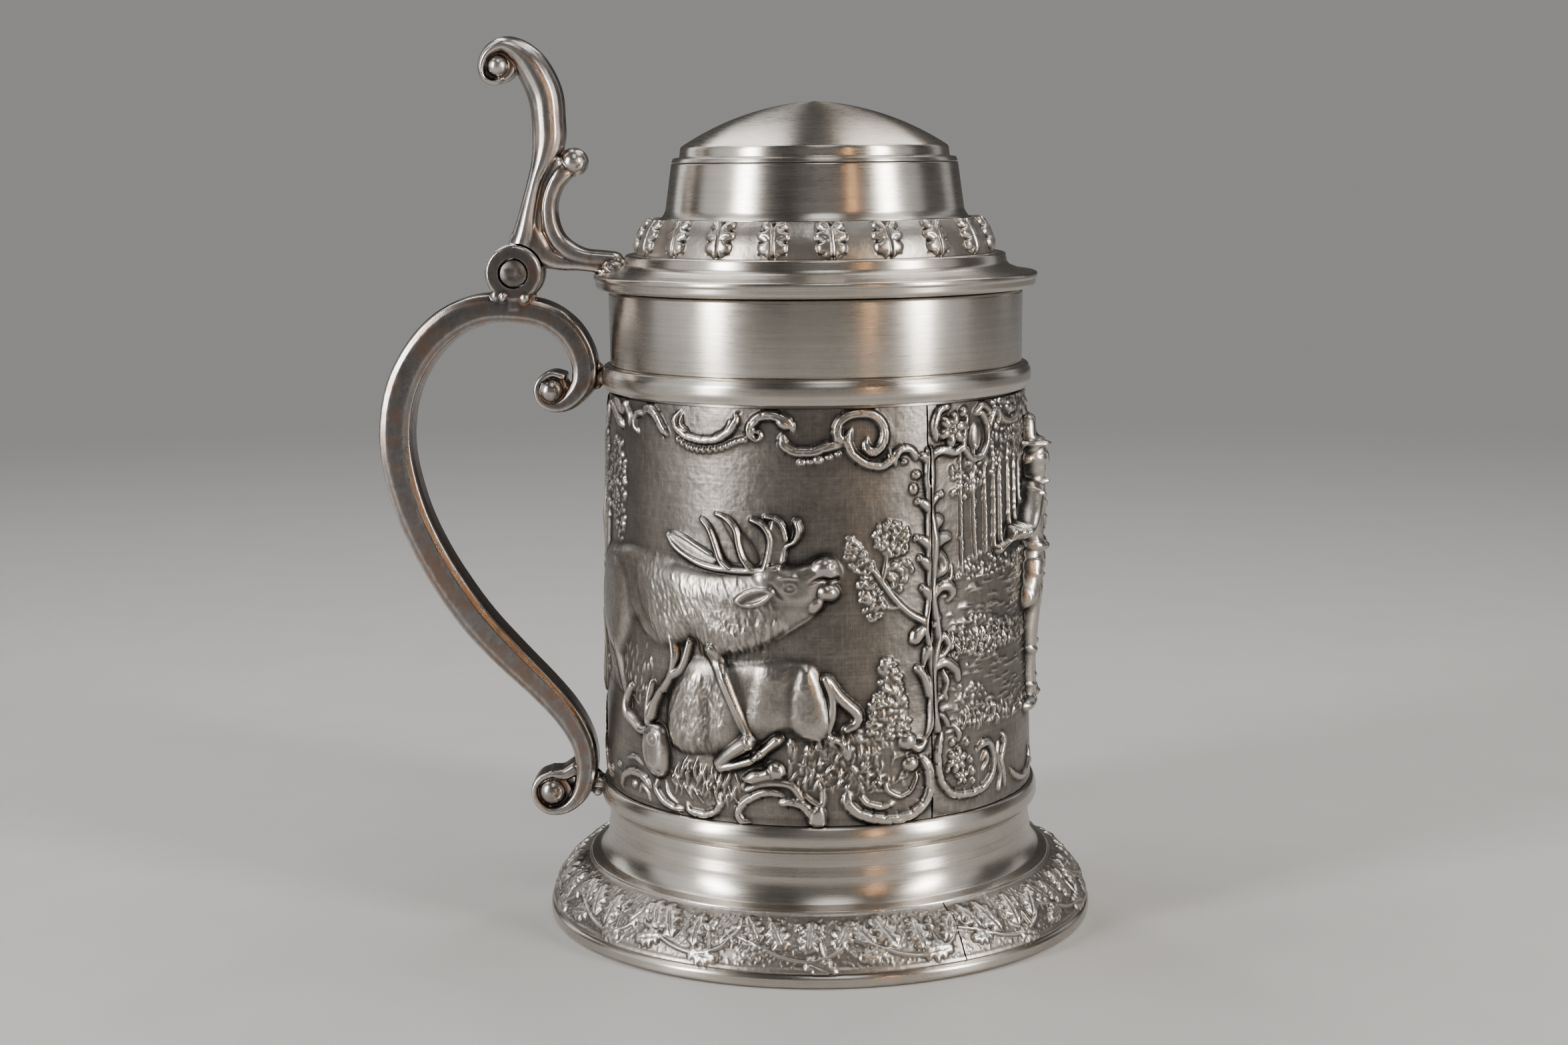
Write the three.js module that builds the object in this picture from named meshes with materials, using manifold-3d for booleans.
// Lidded pewter beer stein, half a litre, as an assembly of its separate castings and turned rings.
// Millimetres, +Z up. The origin is the centre of the underside. The handle is on -X, the front is -Y.
import * as THREE from 'three';
import { mergeVertices } from 'three/addons/utils/BufferGeometryUtils.js';
import Module from 'manifold-3d';

const wasm = await Module();
wasm.setup();

// Driving dimensions. A radius is from the stein's axis and a height is above the table.
const FACETS = 48;
const GAP = 0.3;
const WALL = 1.3;

const RIM_R = 54.9;
const RIM_TOP = 2.75;
const PLATE_R = 45.7;
const PLATE_TOP = 1.6;
const GARLAND_TOP_R = 46.4;
const GARLAND_TOP = 11.7;
const GARLAND_WALL = 1.9;
const GARLAND_BULGE = 1.3;
const COVE_WAIST_R = 42.6;
const COVE_TOP = 22.1;
const FLOOR_BOTTOM = 11.8;
const FLOOR_TOP = 13.2;

const TUBE_BOTTOM_R = 41.3;
const TUBE_TOP_R = 39.5;
const TUBE_TOP = 124.6;
const LOWER_BEAD_TOP = 27.45;
const PANEL_TOP = 106.0;
const PANEL_WALL = 1.45;
const UPPER_BEAD_TOP = 111.0;
const COLLAR_R = 40.9;
const COLLAR_LIP_R = 38.4;
const COLLAR_TOP = 125.5;

const FLANGE_R = 43.8;
const FLANGE_BOTTOM = COLLAR_TOP + GAP;
const FLANGE_EDGE_TOP = 128.1;
const STEP_R = 37.7;
const STEP_BOTTOM = 129.8;
const STEP_TOP = 132.5;
const LID_BORE_R = 34.4;
const LEAF_BOTTOM_R = 35.4;
const LEAF_TOP_R = 32.4;
const LEAF_TOP = 139.3;
const DRUM_BOTTOM_R = 29.4;
const DRUM_TOP_R = 28.1;
const DRUM_TOP = 150.0;
const LEDGE_TOP = 151.3;
const DOME_R = 26.5;
const DOME_EDGE = 153.3;
const DOME_TOP = 162.1;
const DOME_WALL = 1.5;

const PIN = { x: -59.4, z: 129.1, r: 2.75 };
const EAR_R = 5.65;
const KNUCKLE_R = 5.4;
const KNUCKLE_WIDTH = 4.6;
const EAR_OUTER_WIDTH = 9.6;
const EAR_INNER_WIDTH = KNUCKLE_WIDTH + 2 * GAP;
const HANDLE_WIDTH = 9.0;
const THUMBLIFT_WIDTH = 8.0;
const ARM_BEVEL = 0.9;

// Centre lines in the plane of the handle: x, z and half the width there.
const HANDLE_LINE = [
  [-52.0, 102.7, 1.2], [-48.3, 103.9, 1.9], [-45.9, 107.4, 2.4], [-46.1, 112.0, 2.6],
  [-48.8, 117.2, 2.7], [-53.5, 120.7, 2.7], [-59.5, 121.9, 2.7], [-66.0, 121.9, 3.1],
  [-72.3, 119.4, 3.3], [-77.6, 114.6, 3.3], [-81.6, 108.0, 3.4], [-83.6, 100.5, 3.4],
  [-83.6, 92.0, 3.4], [-81.2, 82.0, 3.3], [-77.6, 73.5, 3.3], [-73.2, 65.8, 3.4],
  [-68.2, 58.7, 3.4], [-62.4, 52.2, 3.2], [-56.2, 45.9, 2.9], [-51.2, 40.1, 2.7],
  [-48.0, 34.3, 2.5], [-47.2, 28.5, 2.2], [-48.6, 23.4, 1.7], [-52.0, 20.7, 1.1],
];
const HANDLE_SCROLLS = [
  { x: -52.3, z: 105.6, r: 3.9 },
  { x: -53.9, z: 23.7, r: 4.2 },
];
const HANDLE_LUGS = [
  { x: -44.6, z: 108.4, length: 3.4, height: 3.4 },
  { x: -46.3, z: 25.4, length: 3.2, height: 3.4 },
];
const THUMBLIFT_STEM = [
  [-58.0, 132.5, 3.0], [-56.2, 136.8, 3.5], [-54.9, 142.0, 3.0], [-53.9, 147.0, 2.6],
  [-52.5, 153.0, 3.1], [-52.1, 159.0, 3.4], [-53.0, 164.5, 3.4], [-55.6, 169.4, 3.0],
  [-59.6, 172.7, 2.0], [-63.2, 171.5, 1.5],
];
const THUMBLIFT_SCROLL = { x: -61.2, z: 169.6, r: 4.0 };
const THUMBLIFT_BRANCH = [
  [-54.2, 139.0, 2.4], [-52.8, 144.0, 1.9], [-50.6, 148.0, 1.6], [-47.8, 150.3, 1.7],
];
const BRANCH_BALL = { x: -47.6, z: 150.6, r: 2.2 };
const THUMBLIFT_TANG = [
  [-54.2, 139.0, 2.6], [-52.9, 135.2, 2.9], [-50.0, 132.3, 2.6], [-46.0, 131.0, 2.0],
  [-42.6, 130.8, 1.8], [-38.5, 131.4, 1.1],
];

// Materials.
function pewter(color, roughness) {
  return new THREE.MeshStandardMaterial({ color, roughness, metalness: 1.0 });
}

const TURNED_PEWTER = pewter(0x9c978d, 0.38);
const RELIEF_PEWTER = pewter(0x6c6963, 0.5);
const CAST_PEWTER = pewter(0x78706a, 0.34);
const LINER_PEWTER = pewter(0xa8a49c, 0.45);

// Solids.
function turned(profile) {
  const points = profile.map(([r, z]) => new THREE.Vector2(r, z));
  if (profile[0][0] > 0) points.push(points[0].clone());
  const geometry = new THREE.LatheGeometry(points, FACETS);
  geometry.rotateX(Math.PI / 2);
  return geometry;
}

function toSolid(geometry) {
  const plain = geometry.clone();
  plain.deleteAttribute('normal');
  plain.deleteAttribute('uv');
  const merged = mergeVertices(plain);
  const vertProperties = new Float32Array(merged.attributes.position.array);
  const triVerts = new Uint32Array(merged.index.array);
  return new wasm.Manifold(new wasm.Mesh({ numProp: 3, vertProperties, triVerts }));
}

function toGeometry(solid) {
  const mesh = solid.getMesh();
  const geometry = new THREE.BufferGeometry();
  geometry.setAttribute('position', new THREE.BufferAttribute(mesh.vertProperties, 3));
  geometry.setIndex(new THREE.BufferAttribute(mesh.triVerts, 1));
  geometry.computeVertexNormals();
  return geometry;
}

// The points between two ends of an arc that bulges to the right of the way from start to end.
function bulged(start, end, bulge, steps) {
  const points = [];
  const dr = end[0] - start[0];
  const dz = end[1] - start[1];
  const length = Math.hypot(dr, dz);
  for (let i = 0; i <= steps; i += 1) {
    const t = i / steps;
    const push = (4 * t * (1 - t) * bulge) / length;
    points.push([start[0] + dr * t + dz * push, start[1] + dz * t - dr * push]);
  }
  return points;
}

// A 120 degree piece of a turned ring, centred at an angle from the front towards +X.
function third(profile, centreDegrees) {
  const reach = 1.6 * RIM_R;
  const wedge = new THREE.Shape();
  wedge.moveTo(0, 0);
  for (const degrees of [-60, -20, 20, 60]) {
    const angle = THREE.MathUtils.degToRad(degrees);
    wedge.lineTo(reach * Math.sin(angle), -reach * Math.cos(angle));
  }
  const cutter = new THREE.ExtrudeGeometry(wedge, { depth: COLLAR_TOP, bevelEnabled: false });
  cutter.translate(0, -GAP / 2 / Math.sin(Math.PI / 3), 0);
  cutter.rotateZ(THREE.MathUtils.degToRad(centreDegrees));
  return toGeometry(toSolid(turned(profile)).intersect(toSolid(cutter)));
}

// A bar in the plane of the handle that follows a centre line and widens with it.
function arm(line, width, steps) {
  const curve = new THREE.CatmullRomCurve3(line.map(([x, z, half]) => new THREE.Vector3(x, z, half)));
  const left = [];
  const right = [];
  for (let i = 0; i <= steps; i += 1) {
    const point = curve.getPoint(i / steps);
    const along = curve.getTangent(i / steps);
    const across = new THREE.Vector2(-along.y, along.x).normalize().multiplyScalar(point.z);
    left.push(new THREE.Vector2(point.x + across.x, point.y + across.y));
    right.unshift(new THREE.Vector2(point.x - across.x, point.y - across.y));
  }
  const outline = new THREE.Shape([...left, ...right]);
  const geometry = new THREE.ExtrudeGeometry(outline, {
    depth: width - 2 * ARM_BEVEL,
    bevelThickness: ARM_BEVEL,
    bevelSize: ARM_BEVEL,
    bevelOffset: -ARM_BEVEL,
    bevelSegments: 1,
  });
  geometry.translate(0, 0, ARM_BEVEL - width / 2);
  geometry.rotateX(Math.PI / 2);
  return toSolid(geometry);
}

function disc({ x, z, r }, width, facets = 24) {
  const geometry = new THREE.CylinderGeometry(r, r, width, facets);
  geometry.translate(x, 0, z);
  return toSolid(geometry);
}

function lug({ x, z, length, height }, width) {
  const geometry = new THREE.BoxGeometry(length, width, height);
  geometry.translate(x, 0, z);
  return toSolid(geometry);
}

// Foot.
function bottomPlate() {
  return turned([[0, 0], [PLATE_R, 0], [PLATE_R, PLATE_TOP], [0, PLATE_TOP]]);
}

function footRim() {
  const inner = PLATE_R + GAP;
  return turned([[inner, 0], [RIM_R - 0.5, 0], [RIM_R, 0.5], [RIM_R, RIM_TOP - 0.4],
    [RIM_R - 0.4, RIM_TOP], [inner, RIM_TOP]]);
}

function garlandProfile() {
  const low = [RIM_R - 0.2, RIM_TOP + GAP];
  const high = [GARLAND_TOP_R, GARLAND_TOP];
  const outer = bulged(low, high, GARLAND_BULGE, 6);
  const inner = bulged([low[0] - GARLAND_WALL - 0.8, low[1]], [high[0] - GARLAND_WALL, high[1]],
    GARLAND_BULGE - 0.3, 6);
  return [...outer, ...inner.reverse()];
}

function footCove() {
  const inner = TUBE_BOTTOM_R + GAP;
  const bottom = GARLAND_TOP + GAP;
  return turned([[inner, bottom], [GARLAND_TOP_R - 0.1, bottom], [GARLAND_TOP_R - 0.6, bottom + 0.8],
    [44.4, 14.0], [43.3, 15.8], [COVE_WAIST_R + 0.2, 17.6], [COVE_WAIST_R, COVE_TOP],
    [inner, COVE_TOP]]);
}

// Drinking vessel.
function floorDisc() {
  return turned([[0, FLOOR_BOTTOM], [TUBE_BOTTOM_R, FLOOR_BOTTOM], [TUBE_BOTTOM_R, FLOOR_TOP],
    [0, FLOOR_TOP]]);
}

function innerTube() {
  const bottom = FLOOR_TOP + GAP;
  return turned([[TUBE_BOTTOM_R - WALL, bottom], [TUBE_BOTTOM_R, bottom],
    [TUBE_BOTTOM_R, LOWER_BEAD_TOP], [TUBE_TOP_R, TUBE_TOP], [TUBE_TOP_R - WALL, TUBE_TOP],
    [TUBE_BOTTOM_R - WALL, LOWER_BEAD_TOP]]);
}

// The outside of the tapering inner tube at a height.
function tubeRadius(z) {
  const t = Math.max(0, (z - LOWER_BEAD_TOP) / (TUBE_TOP - LOWER_BEAD_TOP));
  return TUBE_BOTTOM_R + (TUBE_TOP_R - TUBE_BOTTOM_R) * t;
}

function panelProfile() {
  const low = LOWER_BEAD_TOP + GAP;
  const lowInner = tubeRadius(low) + GAP;
  const highInner = tubeRadius(PANEL_TOP) + GAP;
  return [[lowInner, low], [lowInner + PANEL_WALL, low], [highInner + PANEL_WALL, PANEL_TOP],
    [highInner, PANEL_TOP]];
}

function lowerBeadRing() {
  const bottom = COVE_TOP + GAP;
  const inner = TUBE_BOTTOM_R + GAP;
  return turned([[inner, bottom], [43.0, bottom], [43.5, 23.1], [44.2, 24.2], [44.2, 25.7],
    [43.7, LOWER_BEAD_TOP - 0.3], [43.4, LOWER_BEAD_TOP], [inner, LOWER_BEAD_TOP]]);
}

function upperBeadRing() {
  const bottom = PANEL_TOP + GAP;
  const inner = tubeRadius(bottom) + GAP;
  return turned([[inner, bottom], [41.9, bottom], [42.4, 107.2], [42.6, 108.6], [42.4, 110.0],
    [42.0, UPPER_BEAD_TOP], [inner, UPPER_BEAD_TOP]]);
}

function mouthCollar() {
  const bottom = UPPER_BEAD_TOP + GAP;
  const inner = tubeRadius(bottom) + GAP;
  const lipBottom = TUBE_TOP + GAP;
  return turned([[inner, bottom], [COLLAR_R, bottom], [COLLAR_R, COLLAR_TOP - 0.3],
    [COLLAR_R - 0.3, COLLAR_TOP], [COLLAR_LIP_R, COLLAR_TOP], [COLLAR_LIP_R, lipBottom],
    [inner, lipBottom]]);
}

// Handle, pin and thumblift.
function handle() {
  let solid = arm(HANDLE_LINE, HANDLE_WIDTH, 54);
  for (const scroll of HANDLE_SCROLLS) {
    solid = solid.add(disc(scroll, HANDLE_WIDTH - 0.6));
  }
  for (const piece of HANDLE_LUGS) {
    solid = solid.add(lug(piece, 5.0));
  }
  solid = solid.add(disc({ ...PIN, r: EAR_R }, EAR_OUTER_WIDTH));
  solid = solid.subtract(disc({ ...PIN, r: KNUCKLE_R + 2 * GAP }, EAR_INNER_WIDTH));
  solid = solid.subtract(disc({ ...PIN, r: PIN.r + GAP }, EAR_OUTER_WIDTH + 2));
  return toGeometry(solid);
}

function hingePin() {
  const geometry = new THREE.CylinderGeometry(PIN.r, PIN.r, EAR_OUTER_WIDTH - 0.4, 24);
  geometry.translate(PIN.x, 0, PIN.z);
  return geometry;
}

function thumblift() {
  let solid = arm(THUMBLIFT_STEM, THUMBLIFT_WIDTH, 24);
  solid = solid.add(disc(THUMBLIFT_SCROLL, THUMBLIFT_WIDTH - 0.6));
  solid = solid.add(arm(THUMBLIFT_BRANCH, THUMBLIFT_WIDTH - 3, 6));
  const ball = new THREE.SphereGeometry(BRANCH_BALL.r, 12, 8);
  ball.translate(BRANCH_BALL.x, 0, BRANCH_BALL.z);
  solid = solid.add(toSolid(ball));
  solid = solid.add(arm(THUMBLIFT_TANG, THUMBLIFT_WIDTH - 0.6, 12));
  const earSpace = disc({ ...PIN, r: EAR_R + GAP }, THUMBLIFT_WIDTH + 4);
  const kept = disc({ ...PIN, r: EAR_R + 1 }, KNUCKLE_WIDTH);
  solid = solid.subtract(earSpace.subtract(kept));
  solid = solid.add(disc({ ...PIN, r: KNUCKLE_R }, KNUCKLE_WIDTH));
  solid = solid.subtract(disc({ ...PIN, r: PIN.r + GAP }, THUMBLIFT_WIDTH + 4));
  return toGeometry(solid);
}

// Lid.
function lidFlange() {
  return turned([[LID_BORE_R, FLANGE_BOTTOM], [FLANGE_R - 0.4, FLANGE_BOTTOM],
    [FLANGE_R, FLANGE_BOTTOM + 0.7], [FLANGE_R, FLANGE_EDGE_TOP - 0.4],
    [FLANGE_R - 0.5, FLANGE_EDGE_TOP], [STEP_R + 0.2, STEP_BOTTOM], [STEP_R - 0.2, STEP_TOP],
    [LID_BORE_R, STEP_TOP]]);
}

function lidLeafBand() {
  const bottom = STEP_TOP + GAP;
  const outer = bulged([LEAF_BOTTOM_R, bottom], [LEAF_TOP_R, LEAF_TOP], 0.7, 4);
  const inner = bulged([LEAF_BOTTOM_R - 1.6, bottom], [LEAF_TOP_R - 2.2, LEAF_TOP], 0.5, 4);
  return turned([...outer, ...inner.reverse()]);
}

function lidDrum() {
  const bottom = LEAF_TOP + GAP;
  return turned([[DRUM_BOTTOM_R - WALL, bottom], [DRUM_BOTTOM_R + 0.9, bottom],
    [DRUM_BOTTOM_R, bottom + 1.1], [DRUM_TOP_R, DRUM_TOP], [DRUM_TOP_R - WALL, DRUM_TOP]]);
}

function lidDome() {
  const bottom = DRUM_TOP + GAP;
  const outer = bulged([DOME_R, DOME_EDGE], [0, DOME_TOP], 1.7, 5);
  const innerEdge = [DOME_R - DOME_WALL, DOME_EDGE - 0.6];
  const inner = bulged(innerEdge, [0, DOME_TOP - DOME_WALL], 1.6, 4);
  outer.pop();
  inner.pop();
  return turned([[0, DOME_TOP - DOME_WALL], ...inner.reverse(), [DOME_R - DOME_WALL, bottom],
    [DRUM_TOP_R, bottom], [DRUM_TOP_R - 0.3, LEDGE_TOP], [DOME_R, LEDGE_TOP], ...outer,
    [0, DOME_TOP]]);
}

// Assembly.
const stein = new THREE.Group();

function place(group, name, geometry, material) {
  const mesh = new THREE.Mesh(geometry, material);
  mesh.name = name;
  group.add(mesh);
}

const vessel = new THREE.Group();
place(vessel, 'bottom_plate', bottomPlate(), LINER_PEWTER);
place(vessel, 'foot_rim', footRim(), TURNED_PEWTER);
place(vessel, 'foot_cove', footCove(), TURNED_PEWTER);
place(vessel, 'floor_disc', floorDisc(), LINER_PEWTER);
place(vessel, 'inner_tube', innerTube(), LINER_PEWTER);
place(vessel, 'lower_bead_ring', lowerBeadRing(), TURNED_PEWTER);
place(vessel, 'upper_bead_ring', upperBeadRing(), TURNED_PEWTER);
place(vessel, 'mouth_collar', mouthCollar(), TURNED_PEWTER);

// The three castings of each band meet at 30, 150 and 270 degrees from the front.
const THIRDS = [
  { degrees: -30, garland: 'foot_garland_left', panel: 'relief_panel_stag' },
  { degrees: 90, garland: 'foot_garland_right', panel: 'relief_panel_hunter' },
  { degrees: 210, garland: 'foot_garland_back', panel: 'relief_panel_forest' },
];
for (const { degrees, garland, panel } of THIRDS) {
  place(vessel, garland, third(garlandProfile(), degrees), RELIEF_PEWTER);
  place(vessel, panel, third(panelProfile(), degrees), RELIEF_PEWTER);
}

place(vessel, 'handle', handle(), CAST_PEWTER);
place(vessel, 'hinge_pin', hingePin(), CAST_PEWTER);
stein.add(vessel);

const lid = new THREE.Group();
place(lid, 'thumblift', thumblift(), CAST_PEWTER);
place(lid, 'lid_flange', lidFlange(), TURNED_PEWTER);
place(lid, 'lid_leaf_band', lidLeafBand(), RELIEF_PEWTER);
place(lid, 'lid_drum', lidDrum(), TURNED_PEWTER);
place(lid, 'lid_dome', lidDome(), TURNED_PEWTER);
stein.add(lid);

export default stein;
